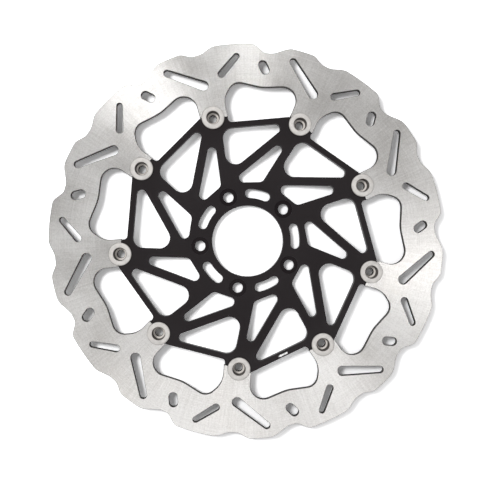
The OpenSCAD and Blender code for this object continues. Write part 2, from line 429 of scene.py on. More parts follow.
def ring_inside(settings):
    """The inner edge of the friction ring at one bobbin, with its ear: corners and their radii."""
    flank_right = Line(settings.track_radius - FLANK_INSET, FLANK_RIGHT_DIRECTION)
    flank_left = Line(settings.track_radius - FLANK_INSET, FLANK_LEFT_DIRECTION)
    ear_end = shifted(EAR_SPLIT, EAR_GAP / 2)
    corners = [
        (meet(flank_right, SHOULDER), 9.5 * MM),
        (meet(SHOULDER, NECK_RIGHT), 18 * MM),
        (meet(NECK_RIGHT, ear_end), EAR_CORNER),
        (meet(ear_end, NECK_LEFT), EAR_CORNER),
        (meet(NECK_LEFT, flank_left), 11 * MM),
        (meet(flank_left, turned(flank_right, PITCH)), 35 * MM),
    ]
    return ear_outline(corners, 2, notch(ear_end, outwards=True))


def wave_edge(settings):
    """The outer edge at one bobbin: level lobes joined by eased valleys."""
    deep, shallow = settings.deep_valley, settings.shallow_valley
    # Degrees from the bobbin, and depth of the edge there
    stations = [
        (LOBE_START, 0), (10.5, 0), (17.5, deep), (18.6, deep), (23.1, 0), (33.6, 0),
        (39.2, shallow), (40.6, shallow), (LOBE_START + PITCH, 0),
    ]
    points = []
    for (here, depth), (there, next_depth) in zip(stations, stations[1:]):
        count = math.ceil((there - here) / WAVE_STEP)
        for i in range(count):
            ease = (1 - math.cos(math.pi * i / count)) / 2
            radius = settings.outer_radius - depth - (next_depth - depth) * ease
            points.append(polar(radius, here + (there - here) * i / count))
    return points


def slot_outline(start, start_radius, end, end_radius):
    """A slot with round ends of two sizes."""
    along = unit(end - start)
    lean = math.acos((start_radius - end_radius) / abs(end - start))
    side = along * cmath.rect(1, lean)
    other = along * cmath.rect(1, -lean)
    return (
        arc(start, start + side * start_radius, math.tau - 2 * lean)
        + arc(end, end + other * end_radius, 2 * lean)
    )


def carrier_outside(settings):
    """The outer edge of the carrier at one bobbin, with its ear: corners and their radii."""
    chord_edge = shifted(CHORD, settings.chord_width / 2)
    ear_end = shifted(EAR_SPLIT, -EAR_GAP / 2)
    corners = [
        (meet(chord_edge, CARRIER_EAR_SIDE), 3 * MM),
        (meet(CARRIER_EAR_SIDE, ear_end), EAR_CORNER),
        (meet(ear_end, turned(chord_edge, PITCH)), EAR_CORNER),
    ]
    return ear_outline(corners, 1, notch(ear_end, outwards=False))


def large_window(settings):
    """The window between a trunk, a chord and a brace."""
    trunk_edge = shifted(TRUNK, -settings.trunk_width / 2)
    chord_edge = shifted(CHORD, -settings.chord_width / 2)
    brace_edge = shifted(BRACE, settings.brace_width / 2)
    return rounded([
        (meet(trunk_edge, chord_edge), 8 * MM),
        (meet(brace_edge, trunk_edge), 8.5 * MM),
        (meet(chord_edge, brace_edge), 3.9 * MM),
    ])


def kite_window(settings):
    """The window between a trunk, the next brace and the hub."""
    trunk_edge = shifted(TRUNK, settings.trunk_width / 2)
    brace_edge = turned(shifted(BRACE, -settings.brace_width / 2), PITCH)
    base = Line(settings.hub_radius, KITE_BASE_DIRECTION)
    return rounded([
        (meet(trunk_edge, brace_edge), 3.6 * MM),
        (meet(brace_edge, base), 4 * MM),
        (meet(base, trunk_edge), 5 * MM),
    ])


def hub_slot(settings):
    """A curved slot on the bolt circle, with round ends."""
    half = HUB_SLOT_SPAN / 2
    outer = settings.bolt_circle + HUB_SLOT_HALF_WIDTH
    inner = settings.bolt_circle - HUB_SLOT_HALF_WIDTH
    sweep = math.radians(HUB_SLOT_SPAN)
    return (
        arc(0, polar(outer, -half), sweep)
        + arc(polar(settings.bolt_circle, half), polar(outer, half), math.pi)[1:-1]
        + arc(0, polar(inner, half), -sweep)
        + arc(polar(settings.bolt_circle, -half), polar(inner, -half), math.pi)[1:-1]
    )


def circlip_outline(settings):
    """A ring that is open between two lugs, thickest opposite the gap."""
    back = -CLIP_OFFSET
    lug = polar(CLIP_LUG_CIRCLE, CLIP_LUG_ANGLE)
    gap = settings.clip_gap / 2
    outer, bore = settings.clip_outer, settings.clip_bore
    # The outer edge meets the lug where two circles cross
    apart = abs(lug - back)
    along = (apart**2 + outer**2 - CLIP_LUG_RADIUS**2) / (2 * apart)
    across = math.sqrt(outer**2 - along**2)
    join = back + unit(lug - back) * complex(along, across)
    lug_tip = complex(lug.real + math.sqrt(CLIP_LUG_RADIUS**2 - (lug.imag - gap) ** 2), gap)
    bore_tip = complex(math.sqrt(bore**2 - gap**2), gap)
    lug_sweep = cmath.phase((join - lug) / (lug_tip - lug)) % math.tau
    outer_sweep = math.tau - 2 * cmath.phase(join - back)
    bore_sweep = math.tau - 2 * cmath.phase(bore_tip)
    upper_lug = arc(lug, lug_tip, lug_sweep)
    lower_lug = [point.conjugate() for point in upper_lug[::-1]]
    return (
        upper_lug[:-1]
        + arc(back, join, outer_sweep)
        + lower_lug[1:]
        + arc(0, bore_tip.conjugate(), -bore_sweep)
    )


# Solids built from outlines


class Plate:
    """Walls and faces of a flat piece, each face marked as flat, wall, rim or seat."""

    def __init__(self):
        self.points = []
        self.faces = []
        self.marks = []

    def add_points(self, outline, height):
        first = len(self.points)
        self.points += [(point.real, point.imag, height) for point in outline]
        return range(first, len(self.points))

    def add_wall(self, rings, closed=True, upright=WALL):
        """Bands of faces up a list of (outline, height), with the mark of the upright ones."""
        rows = [self.add_points(outline, height) for outline, height in rings]
        for lower, upper, (low_line, low), (high_line, high) in zip(rows, rows[1:], rings, rings[1:]):
            mark = upright if low_line is high_line else SEAT if low == high else RIM
            last = len(lower) if closed else len(lower) - 1
            for i in range(last):
                j = (i + 1) % len(lower)
                self.faces.append((lower[i], lower[j], upper[j], upper[i]))
                self.marks.append(mark)

    def add_cap(self, outlines, height, inner_points=()):
        """One flat face: the first outline less the others, with points of its own inside it."""
        points, loops = [], []
        for outline in outlines:
            loop = list(range(len(points), len(points) + len(outline)))
            loops.append(loop[::-1] if loops else loop)
            points += outline
        points += inner_points
        corners = [Vector((point.real, point.imag)) / MM for point in points]
        places, _, triangles, _, _, owners = delaunay_2d_cdt(
            corners, [], loops, INSIDE_ONLY, CAP_TOLERANCE, True
        )
        ids = self.add_points([complex(place.x, place.y) * MM for place in places], height)
        for triangle, owner in zip(triangles, owners):
            # A triangle that lies in the first outline alone is in no hole
            if owner == [0]:
                self.faces.append(tuple(ids[i] for i in triangle))
                self.marks.append(FLAT)

    def sink(self, depth):
        """Lower every point by a depth that depends on its distance from the axle."""
        self.points = [(x, y, z - depth(math.hypot(x, y))) for x, y, z in self.points]

    def mesh(self, name):
        made = bpy.data.meshes.new(name)
        made.from_pydata(self.points, [], self.faces)
        marks = made.attributes.new("finish", "FLOAT", "FACE")
        marks.data.foreach_set("value", self.marks)
        return made


def chamfered(outline, low, high, edge):
    """A wall whose two rims are broken by a small chamfer."""
    rim = inset(outline, edge)
    return [(rim, low), (outline, low + edge), (outline, high - edge), (rim, high)]


def parted(rings, start, count):
    """One slice of each outline in a wall, from the point nearest to start."""
    first = nearest(rings[1][0], start)
    cut = {}
    for outline, _ in rings:
        cut.setdefault(id(outline), [outline[(first + i) % len(outline)] for i in range(count + 1)])
    return [(cut[id(outline)], height) for outline, height in rings]


def whole_plate(walls, inner_points=()):
    """A plate from its closed walls, the outer one first."""
    plate = Plate()
    for rings in walls:
        plate.add_wall(rings)
    for end in (0, -1):
        plate.add_cap([rings[end][0] for rings in walls], walls[0][end][1], inner_points)
    return plate


def lathe_slice(name, profile, count):
    """The narrow slice of a turned piece between two neighbouring profiles."""
    points = []
    for turn in (0, math.tau / count):
        points += [
            (corner.real * math.cos(turn), corner.real * math.sin(turn), corner.imag)
            for corner in profile
        ]
    size = len(profile)
    faces = []
    for i in range(size):
        j = (i + 1) % size
        faces.append((i, j, size + j, size + i))
    made = bpy.data.meshes.new(name)
    made.from_pydata(points, [], faces)
    radius = made.attributes.new("turn_radius", "FLOAT", "POINT")
    radius.data.foreach_set("value", [corner.real for corner in profile] * 2)
    return made


def add_node(tree, kind, inputs=None, **settings):
    """Add a node to a tree. A socket among its inputs is linked, and any other value is set."""
    made = tree.nodes.new(kind)
    for key, value in settings.items():
        setattr(made, key, value)
    for key, value in (inputs or {}).items():
        if isinstance(value, bpy.types.NodeSocket):
            tree.links.new(value, made.inputs[key])
        else:
            made.inputs[key].default_value = value
    return made


def around_axis_tree():
    """Geometry Nodes that repeat a slice round its axis, weld the seams and set the whole in place."""
    name = "around_axis"
    if name in bpy.data.node_groups:
        return bpy.data.node_groups[name]
    tree = bpy.data.node_groups.new(name, "GeometryNodeTree")
    sockets = {
        "Slice": "NodeSocketGeometry", "Count": "NodeSocketInt", "Weld": "NodeSocketFloat",
        "Place": "NodeSocketVector", "Turn": "NodeSocketFloat", "Material": "NodeSocketMaterial",
    }
    for label, kind in sockets.items():
        tree.interface.new_socket(label, in_out="INPUT", socket_type=kind)
    tree.interface.new_socket("Piece", in_out="OUTPUT", socket_type="NodeSocketGeometry")

    def first(kind, inputs=None, **settings):
        """Add a node, and return the first of its outputs."""
        return add_node(tree, kind, inputs, **settings).outputs[0]

    given = add_node(tree, "NodeGroupInput").outputs
    points = first("GeometryNodePoints", {"Count": given["Count"]})
    pitch = first("ShaderNodeMath", {0: math.tau, 1: given["Count"]}, operation="DIVIDE")
    index = first("GeometryNodeInputIndex")
    angle = first("ShaderNodeMath", {0: index, 1: pitch}, operation="MULTIPLY")
    spin = first("FunctionNodeAxisAngleToRotation", {"Axis": AXLE, "Angle": angle})
    copies = first("GeometryNodeInstanceOnPoints", {
        "Points": points, "Instance": given["Slice"], "Rotation": spin,
    })
    realized = first("GeometryNodeRealizeInstances", {0: copies})
    welded = first("GeometryNodeMergeByDistance", {"Geometry": realized, "Distance": given["Weld"]})
    turn = first("FunctionNodeAxisAngleToRotation", {"Axis": AXLE, "Angle": given["Turn"]})
    placed = first("GeometryNodeTransform", {
        "Geometry": welded, "Translation": given["Place"], "Rotation": turn,
    })
    painted = first("GeometryNodeSetMaterial", {"Geometry": placed, "Material": given["Material"]})
    add_node(tree, "NodeGroupOutput", {0: painted})
    return tree


def repeated_piece(name, slice_mesh, count, material, place=(0, 0, 0), turn=0.0):
    """A finished piece from one slice: repeated, welded, placed and turned into a plain mesh."""
    piece = bpy.data.objects.new(name, slice_mesh)
    bpy.context.scene.collection.objects.link(piece)
    modifier = piece.modifiers.new("Around the axis", "NODES")
    modifier.node_group = around_axis_tree()
    values = {"Count": count, "Weld": WELD, "Place": place, "Turn": turn, "Material": material}
    for item in modifier.node_group.interface.items_tree:
        if item.in_out == "INPUT" and item.name in values:
            modifier[item.identifier] = values[item.name]
    depsgraph = bpy.context.evaluated_depsgraph_get()
    result = bpy.data.meshes.new_from_object(
        piece.evaluated_get(depsgraph), preserve_all_data_layers=True, depsgraph=depsgraph
    )
    piece.modifiers.clear()
    piece.data = result
    bpy.data.meshes.remove(slice_mesh)
    finish_mesh(result, name)
    return piece


def finish_mesh(mesh, name):
    """Turn every face outwards and keep machined edges crisp."""
    work = bmesh.new()
    work.from_mesh(mesh)
    bmesh.ops.recalc_face_normals(work, faces=work.faces)
    if any(not edge.is_manifold for edge in work.edges):
        raise RuntimeError(f"{name} isn't closed")
    work.to_mesh(mesh)
    work.free()
    mesh.name = name
    mesh.shade_smooth()
    mesh.set_sharp_from_angle(angle=CRISP_ANGLE)


def settle(piece, body, node):
    """Put a finished piece on its body in the place of its CAD node."""
    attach(piece, body)
    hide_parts(node)


def on_every_bobbin(name, node, slice_mesh, count, material):
    """Make a like piece for each bobbin, in the place of its CAD node."""
    for k in range(BOBBINS):
        number = k + 1
        centre = polar(BOBBIN_CIRCLE, k * PITCH)
        place = (centre.real, centre.imag, 0)
        turn = math.radians(k * PITCH)
        piece = repeated_piece(f"{name}_{number}", slice_mesh.copy(), count, material, place, turn)
        settle(piece, f"bobbin_{number}", f"{node}_{number}")
    bpy.data.meshes.remove(slice_mesh)


# Materials

# How far grinding and turning stretch a reflection, and the quarter turn that puts it across the marks
GROUND_STRETCH = 0.9
TURNED_STRETCH = 0.5
QUARTER_TURN = 0.25
# How much the walls and broken edges that the cutter left mirror, and how rough they are
CUT_METAL = 0.2
CUT_ROUGHNESS = 0.7
# Mirror level of the anodising, and how much smoother a spot-face is than the face around it
ANODISED_MIRROR = 0.2
SEAT_POLISH = 0.25
# How much a turned face and the drilled hollow in it mirror
TURNED_METAL = 0.35
HOLLOW_METAL = 0.1
# How far the broken outer edge of a flange goes to the painted shade of the bored wall: a painted
# shadow line round the flange
RIM_SHADE = 0.75
# Where the painted shade and painted highlight round a hollow have faded out, in widths of its broken
# edge
HOLLOW_FADE = 1.3
# How dark the dark lines of turned steel, the dark spots of stamped steel and paper fibres are
TURNED_SHADE = 0.72
STAMPED_SHADE = 0.65
FIBRE_SHADE = 0.99

# A drilled recess: radii of its mouth, of the hole in its floor and of the rim, with the painted
# highlight colour of its floor and the painted shade colour of its wall and rim
Hollow = namedtuple("Hollow", "mouth hole rim edge_break floor wall")


class Shader:
    """A material whose nodes are added one by one."""

    def __init__(self, name):
        self.material = bpy.data.materials.new(name)
        self.material.use_nodes = True
        self.tree = self.material.node_tree
        self.tree.nodes.clear()

    def node(self, kind, inputs=None, **settings):
        return add_node(self.tree, kind, inputs, **settings)

    def math(self, operation, a, b=0.0):
        return self.node("ShaderNodeMath", {0: a, 1: b}, operation=operation).outputs[0]

    def mean(self, a, b, weight):
        """Two values mixed, with the weight of the second one."""
        return self.node("ShaderNodeMix", {0: weight, 2: a, 3: b}, data_type="FLOAT").outputs[0]

    def spread(self, value, low, high, to_low, to_high):
        """A value moved from one range to another, and held inside it."""
        ranges = {0: value, 1: low, 2: high, 3: to_low, 4: to_high}
        return self.node("ShaderNodeMapRange", ranges, clamp=True).outputs[0]

    def blend(self, factor, a, b):
        """Colour a where the factor is 0 and colour b where it is 1."""
        full = {0: factor, 6: opaque(a), 7: opaque(b)}
        return self.node("ShaderNodeMix", full, data_type="RGBA").outputs[2]

    def noise(self, vector, scale, detail):
        settings = {"Vector": vector, "Scale": scale, "Detail": detail}
        return self.node("ShaderNodeTexNoise", settings).outputs["Fac"]

    def position(self):
        return self.node("ShaderNodeTexCoord").outputs["Object"]

    def attribute(self, name):
        return self.node("ShaderNodeAttribute", attribute_name=name).outputs["Fac"]

    def marked(self, mark):
        """1 on the faces of a plate that carry a mark, and 0 on the others."""
        compared = {0: self.attribute("finish"), 1: mark, 2: MARK_REACH}
        return self.node("ShaderNodeMath", compared, operation="COMPARE").outputs[0]

    def tangent(self):
        """The direction round the piece's own axis."""
        return self.node("ShaderNodeTangent", direction_type="RADIAL", axis="Z").outputs[0]

    def bump(self, height, strength, distance):
        settings = {"Strength": strength, "Distance": distance, "Height": height}
        return self.node("ShaderNodeBump", settings).outputs[0]

    def surface(self, inputs):
        body = self.node("ShaderNodeBsdfPrincipled", inputs)
        self.node("ShaderNodeOutputMaterial", {"Surface": body.outputs[0]})
        return self.material


def opaque(value):
    """A colour with its fourth number, or a socket as it is."""
    if isinstance(value, bpy.types.NodeSocket):
        return value
    return (*value, 1.0)


def polar_streaks(shader, around, outwards):
    """Position on the disc as a vector for noise: cells per radian, and per metre of radius."""
    parts = shader.node("ShaderNodeSeparateXYZ", {0: shader.position()}).outputs
    square = shader.math("ADD", shader.math("POWER", parts[0], 2), shader.math("POWER", parts[1], 2))
    radius = shader.math("SQRT", square)
    across = shader.math("MULTIPLY", shader.math("DIVIDE", parts[0], radius), around)
    up = shader.math("MULTIPLY", shader.math("DIVIDE", parts[1], radius), around)
    out = shader.math("MULTIPLY", radius, outwards)
    return shader.node("ShaderNodeCombineXYZ", {0: across, 1: up, 2: out}).outputs[0]


def ground_steel(finish):
    """Stainless steel off a rotary grinder: scratches, chatter, grain and haze, with cut walls and
    broken edges painted near black: their darker cut finish plus painted shade.
    """
    shader = Shader("ground_steel")
    scratches = shader.noise(polar_streaks(shader, around=5, outwards=3000), scale=1, detail=3)
    chatter = shader.noise(polar_streaks(shader, around=110, outwards=40), scale=1, detail=4)
    grain = shader.noise(shader.position(), scale=900, detail=3)
    haze = shader.noise(shader.position(), scale=22, detail=4)
    streaks = shader.mean(scratches, chatter, weight=0.45)
    mixed = shader.mean(shader.mean(streaks, grain, weight=0.4), haze, weight=0.4)
    tone = shader.spread(mixed, 0.4, 0.6, 0, 1)
    face = shader.blend(tone, finish.ring_shade, finish.ring_steel)
    # Walls and broken edges take the near-black colour: their darker cut finish plus painted shade
    cut = shader.math("MAXIMUM", shader.marked(WALL), shader.marked(RIM))
    base = shader.blend(cut, face, finish.ring_wall_shade)
    rough = finish.ring_roughness
    ground = shader.spread(haze, 0.3, 0.7, rough - 0.05, rough + 0.06)
    return shader.surface({
        "Base Color": base,
        "Metallic": shader.mean(1, CUT_METAL, cut),
        "Roughness": shader.mean(ground, CUT_ROUGHNESS, cut),
        "Anisotropic": GROUND_STRETCH,
        "Anisotropic Rotation": QUARTER_TURN,
        "Tangent": shader.tangent(),
        "Normal": shader.bump(streaks, strength=0.25, distance=0.02 * MM),
    })


def black_anodising(finish):
    """Satin black anodised aluminium with a fine blasted grain and paler edges."""
    shader = Shader("black_anodising")
    grain = shader.noise(shader.position(), scale=2600, detail=2)
    cloud = shader.noise(shader.position(), scale=45, detail=3)
    worn = shader.math("MULTIPLY", shader.marked(RIM), shader.spread(cloud, 0.4, 0.6, 0.5, 1))
    rough = finish.carrier_roughness
    blasted = shader.spread(cloud, 0.3, 0.7, rough - 0.04, rough + 0.05)
    smoother = shader.math("MULTIPLY", shader.marked(SEAT), SEAT_POLISH)
    roughness = shader.math("SUBTRACT", blasted, smoother)
    return shader.surface({
        "Base Color": shader.blend(worn, finish.carrier_black, finish.carrier_edge),
        "Roughness": roughness,
        "Specular IOR Level": ANODISED_MIRROR,
        "Normal": shader.bump(grain, strength=0.2, distance=0.03 * MM),
    })


def turned_steel(name, base, roughness, hollow=None):
    """Steel off the lathe: fine rings about the piece's own axis; round a hollow, a painted highlight
    on its floor and painted shade on its wall, round its hole and round the outer rim.
    """
    shader = Shader(name)
    radius = shader.attribute("turn_radius")
    rings = shader.node("ShaderNodeCombineXYZ", {0: radius}).outputs[0]
    lines = shader.noise(rings, scale=1700, detail=4)
    cloud = shader.noise(shader.position(), scale=260, detail=3)
    dark = [TURNED_SHADE * part for part in base]
    tone = shader.spread(shader.math("ADD", lines, cloud), 0.75, 1.25, 0, 1)
    turned = shader.blend(tone, dark, base)
    sheen = shader.spread(cloud, 0.3, 0.7, roughness - 0.05, roughness + 0.05)
    metal = TURNED_METAL
    if hollow:
        cut = hollow.edge_break
        fade = HOLLOW_FADE * cut
        inside = shader.spread(radius, hollow.mouth + cut, hollow.mouth + fade, 1, 0)
        bore_wall_shade = shader.spread(radius, hollow.mouth - fade, hollow.mouth - cut, 0, 1)
        hole_rim_shade = shader.spread(radius, hollow.hole + cut, hollow.hole + fade, 1, 0)
        # The recess takes a painted highlight on its floor and painted shade on its wall and round its
        # hole
        recess = shader.blend(shader.math("MAXIMUM", bore_wall_shade, hole_rim_shade), hollow.floor, hollow.wall)
        # The flange's outer edge darkens as a painted shadow line round it
        rim = shader.spread(radius, hollow.rim - cut, hollow.rim, 0, RIM_SHADE)
        turned = shader.blend(inside, shader.blend(rim, turned, hollow.wall), recess)
        metal = shader.mean(TURNED_METAL, HOLLOW_METAL, inside)
    return shader.surface({
        "Base Color": turned,
        "Metallic": metal,
        "Roughness": sheen,
        "Anisotropic": TURNED_STRETCH,
        "Tangent": shader.tangent(),
        "Normal": shader.bump(lines, strength=0.25, distance=0.02 * MM),
    })


def stamped_steel(name, base, roughness, metallic):
    """Strip steel with a mottled surface treatment."""
    shader = Shader(name)
    mottle = shader.noise(shader.position(), scale=700, detail=4)
    dark = [STAMPED_SHADE * part for part in base]
    return shader.surface({
        "Base Color": shader.blend(shader.spread(mottle, 0.35, 0.65, 0, 1), dark, base),
        "Metallic": metallic,
        "Roughness": shader.spread(mottle, 0.3, 0.7, roughness - 0.06, roughness + 0.06),
        "Normal": shader.bump(mottle, strength=0.2, distance=0.02 * MM),
    })


def floor_paper(base, gain):
    """White paper that keeps the shadow, brighter to the lens, and clear to a lens below it."""
    shader = Shader("floor_paper")
    fibre = shader.noise(shader.position(), scale=300, detail=3)
    paper = shader.blend(fibre, [FIBRE_SHADE * part for part in base], base)
    path = shader.node("ShaderNodeLightPath").outputs
    seen = shader.math("MAXIMUM", path["Is Camera Ray"], path["Is Glossy Ray"])
    seen = shader.math("MAXIMUM", seen, path["Is Transmission Ray"])
    seen = shader.math("MULTIPLY", seen, shader.math("LESS_THAN", path["Diffuse Depth"], 0.5))
    exposed = shader.blend(seen, paper, [gain * part for part in base])
    upper = shader.node("ShaderNodeBsdfDiffuse", {"Color": exposed}).outputs[0]
    below = shader.node("ShaderNodeNewGeometry").outputs["Backfacing"]
    clear = shader.node("ShaderNodeBsdfTransparent").outputs[0]
    surface = shader.node("ShaderNodeMixShader", {0: below, 1: upper, 2: clear})
    shader.node("ShaderNodeOutputMaterial", {"Surface": surface.outputs[0]})
    return shader.material


# Operators


class DISC_OT_friction_ring(bpy.types.Operator):
    """Model the friction ring: one wave with its slots and ear, repeated round the axle"""

    bl_idname = "disc.friction_ring"
    bl_label = "Friction ring"

    def execute(self, context):
        settings = context.scene.disc_ring
        low, high, edge = RING_LOW.z, RING_HIGH.z, settings.edge_break
        wave = wave_edge(settings)
        inner = ring_inside(settings)
        outer_rings = chamfered(all_round(wave, BOBBINS), low, high, edge)
        inner_rings = chamfered(hole(all_round(inner, BOBBINS)), low, high, edge)
        outside = parted(outer_rings, polar(settings.outer_radius, RING_PARTING - PITCH), len(wave))
        inside = parted(inner_rings, polar(settings.track_radius, RING_PARTING), len(inner))
        slots = [
            chamfered(hole(slot_outline(*slot)), low, high, edge)
            for slot in (LONG_SLOT, SHORT_SLOT, OVAL_SLOT)
        ]
        plate = Plate()
        plate.add_wall(outside, closed=False, upright=FLAT)
        plate.add_wall(inside, closed=False)
        for rings in slots:
            plate.add_wall(rings)
        for end, height in ((0, low), (-1, high)):
            border = outside[end][0] + inside[end][0]
            plate.add_cap([border] + [rings[end][0] for rings in slots], height)
        piece = repeated_piece(
            "friction_ring", plate.mesh("ring_slice"), BOBBINS, ground_steel(context.scene.disc_finish)
        )
        settle(piece, "rotor", "rotor_ring")
        return {"FINISHED"}


class DISC_OT_carrier(bpy.types.Operator):
    """Model the carrier: hub, rising arms and ears, with its bores, windows and spot-faces"""

    bl_idname = "disc.carrier"
    bl_label = "Carrier"

    def bolt_hole(self, settings, low, high, degrees):
        """A bolt hole that opens into its spot-face."""
        edge = settings.edge_break
        rim = edge / 2
        seat = high - settings.spot_depth
        centre = polar(settings.bolt_circle, degrees)
        sizes = [
            (settings.bolt_hole + edge, low), (settings.bolt_hole, low + edge),
            (settings.bolt_hole, seat - rim), (settings.bolt_hole + rim, seat),
            (settings.spot_face, seat), (settings.spot_face, high - rim),
            (settings.spot_face + rim, high),
        ]
        ring = hole(all_round([1], HOLE_STEPS))
        return [([centre + point * radius for point in ring], height) for radius, height in sizes]

    def execute(self, context):
        settings = context.scene.disc_carrier
        high = CARRIER_HIGH.z
        low = high - settings.thickness
        edge = settings.edge_break
        rise = low - CARRIER_LOW.z
        slope = settings.rim_radius - settings.foot_radius
        holes = [circle(0, settings.spigot_radius)]
        for k in range(BOBBINS):
            holes.append(spun(large_window(settings), k * PITCH))
            holes.append(spun(kite_window(settings), k * PITCH))
        for k in range(BOLTS):
            holes.append(spun(hub_slot(settings), (k + 0.5) * BOLT_PITCH))
        outside = stepped(all_round(carrier_outside(settings), BOBBINS), ARM_STEP)
        walls = [chamfered(outside, low, high, edge)]
        walls += [chamfered(hole(stepped(outline, ARM_STEP)), low, high, edge) for outline in holes]
        walls += [self.bolt_hole(settings, low, high, k * BOLT_PITCH) for k in range(BOLTS)]
        creases = circle(0, settings.foot_radius) + circle(0, settings.rim_radius)
        plate = whole_plate(walls, creases)
        plate.sink(lambda radius: rise * min(1, max(0, (settings.rim_radius - radius) / slope)))
        mesh = plate.mesh("carrier_plate")
        piece = repeated_piece("carrier_plate", mesh, 1, black_anodising(context.scene.disc_finish))
        settle(piece, "carrier", "carrier")
        return {"FINISHED"}


class DISC_OT_bobbins(bpy.types.Operator):
    """Turn the hollow flanged bobbins"""

    bl_idname = "disc.bobbins"
    bl_label = "Bobbins"

    def profile(self, settings, groove_depth):
        """Half section from the bottom hole round the outside to the recess: radius and height."""
        edge = settings.edge_break
        shank, recess, bore = settings.shank_radius, settings.recess_radius, settings.hole_radius
        flange = (BOBBIN_HIGH.y - BOBBIN_LOW.y) / 2
        bottom, top = BOBBIN_LOW.z, BOBBIN_HIGH.z
        under = top - settings.flange_thickness
        floor = top - settings.recess_depth
        groove = shank - groove_depth
        play = GROOVE_PLAY
        return [
            complex(bore + edge / 2, bottom),
            complex(shank - edge, bottom),
            complex(shank, bottom + edge),
            complex(shank, CLIP_LOW.z - play),
            complex(groove, CLIP_LOW.z - play),
            complex(groove, CLIP_HIGH.z + play),
            complex(shank, CLIP_HIGH.z + play),
            complex(shank, under),
            complex(flange - edge / 2, under),
            complex(flange, under + edge / 2),
            complex(flange, top - FLANGE_DROP),
            complex(flange - edge, top - FLANGE_DROP + edge),
            complex(flange - FLANGE_BEVEL, top),
            complex(recess + edge, top),
            complex(recess, top - edge),
            complex(recess, floor),
            complex(bore + edge / 2, floor - RECESS_CONE + edge / 2),
            complex(bore, floor - RECESS_CONE - edge / 2),
            complex(bore, bottom + edge / 2),
        ]

    def execute(self, context):
        scene = context.scene
        colours = scene.disc_finish
        settings = scene.disc_bobbins
        profile = self.profile(settings, scene.disc_fastening.groove_depth)
        hollow = Hollow(
            settings.recess_radius, settings.hole_radius, max(corner.real for corner in profile),
            settings.edge_break, colours.bobbin_hollow_highlight, colours.bobbin_bore_shade,
        )
        finish = turned_steel("turned_steel", colours.bobbin_steel, colours.bobbin_roughness, hollow)
        mesh = lathe_slice("bobbin_slice", profile, LATHE_STEPS)
        on_every_bobbin("bobbin_turned", "bobbin", mesh, LATHE_STEPS, finish)
        return {"FINISHED"}


class DISC_OT_flat_washers(bpy.types.Operator):
    """Lay a flat washer under the carrier on each bobbin"""

    bl_idname = "disc.flat_washers"
    bl_label = "Flat washers"

    def execute(self, context):
        settings, colours = context.scene.disc_fastening, context.scene.disc_finish
        edge = settings.edge_break
        bore, outer = settings.washer_bore, (WASHER_HIGH.y - WASHER_LOW.y) / 2
        low, high = WASHER_LOW.z, WASHER_HIGH.z
        profile = [
            complex(bore + edge, low), complex(outer - edge, low), complex(outer, low + edge),
            complex(outer, high - edge), complex(outer - edge, high), complex(bore + edge, high),
            complex(bore, high - edge), complex(bore, low + edge),
        ]
        finish = turned_steel("zinc_plate", colours.washer_steel, colours.washer_roughness)
        mesh = lathe_slice("washer_slice", profile, LATHE_STEPS)
        on_every_bobbin("washer_flat", "flat_washer", mesh, LATHE_STEPS, finish)
        return {"FINISHED"}


class DISC_OT_wave_washers(bpy.types.Operator):
    """Bend a wave spring washer under each flat washer"""

    bl_idname = "disc.wave_washers"
    bl_label = "Wave washers"

    waves = 3
    steps = 32

    def one_wave(self, settings):
        """One wave of the strip: four edges that rise and fall together."""
        outer = (SPRING_HIGH.y - SPRING_LOW.y) / 2
        strip = settings.spring_strip
        middle = (SPRING_LOW.z + SPRING_HIGH.z) / 2
        swing = (SPRING_HIGH.z - SPRING_LOW.z - strip) / 2
        section = [
            (settings.spring_bore, -strip / 2), (outer, -strip / 2),
            (outer, strip / 2), (settings.spring_bore, strip / 2),
        ]
        size = len(section)
        points, faces = [], []
        for i in range(self.steps + 1):
            turn = math.tau * i / self.steps
            for radius, rise in section:
                point = cmath.rect(radius, turn / self.waves)
                points.append((point.real, point.imag, middle + rise + swing * math.cos(turn)))
        for i in range(self.steps):
            here, there = size * i, size * (i + 1)
            for j in range(size):
                k = (j + 1) % size
                faces.append((here + j, here + k, there + k, there + j))
        made = bpy.data.meshes.new("spring_slice")
        made.from_pydata(points, [], faces)
        return made

    def execute(self, context):
        colours = context.scene.disc_finish
        finish = stamped_steel(
            "spring_steel", colours.spring_steel, colours.spring_roughness, metallic=1.0
        )
        mesh = self.one_wave(context.scene.disc_fastening)
        on_every_bobbin("washer_wave", "wave_washer", mesh, self.waves, finish)
        return {"FINISHED"}


class DISC_OT_circlips(bpy.types.Operator):
    """Clip an open ring with two lugs into the groove of each bobbin"""

    bl_idname = "disc.circlips"
    bl_label = "Circlips"

    def execute(self, context):
        settings, colours = context.scene.disc_fastening, context.scene.disc_finish
        low, high, edge = CLIP_LOW.z, CLIP_HIGH.z, settings.edge_break
        finish = stamped_steel(
            "phosphated_steel", colours.clip_steel, colours.clip_roughness, metallic=0.6
        )
        walls = [chamfered(circlip_outline(settings), low, high, edge)]
        for side in (-1, 1):
            lug_hole = circle(polar(CLIP_LUG_CIRCLE, side * CLIP_LUG_ANGLE), CLIP_LUG_HOLE)
            walls.append(chamfered(hole(lug_hole), low, high, edge))
        mesh = whole_plate(walls).mesh("circlip_plate")
        on_every_bobbin("clip", "circlip", mesh, 1, finish)
        return {"FINISHED"}


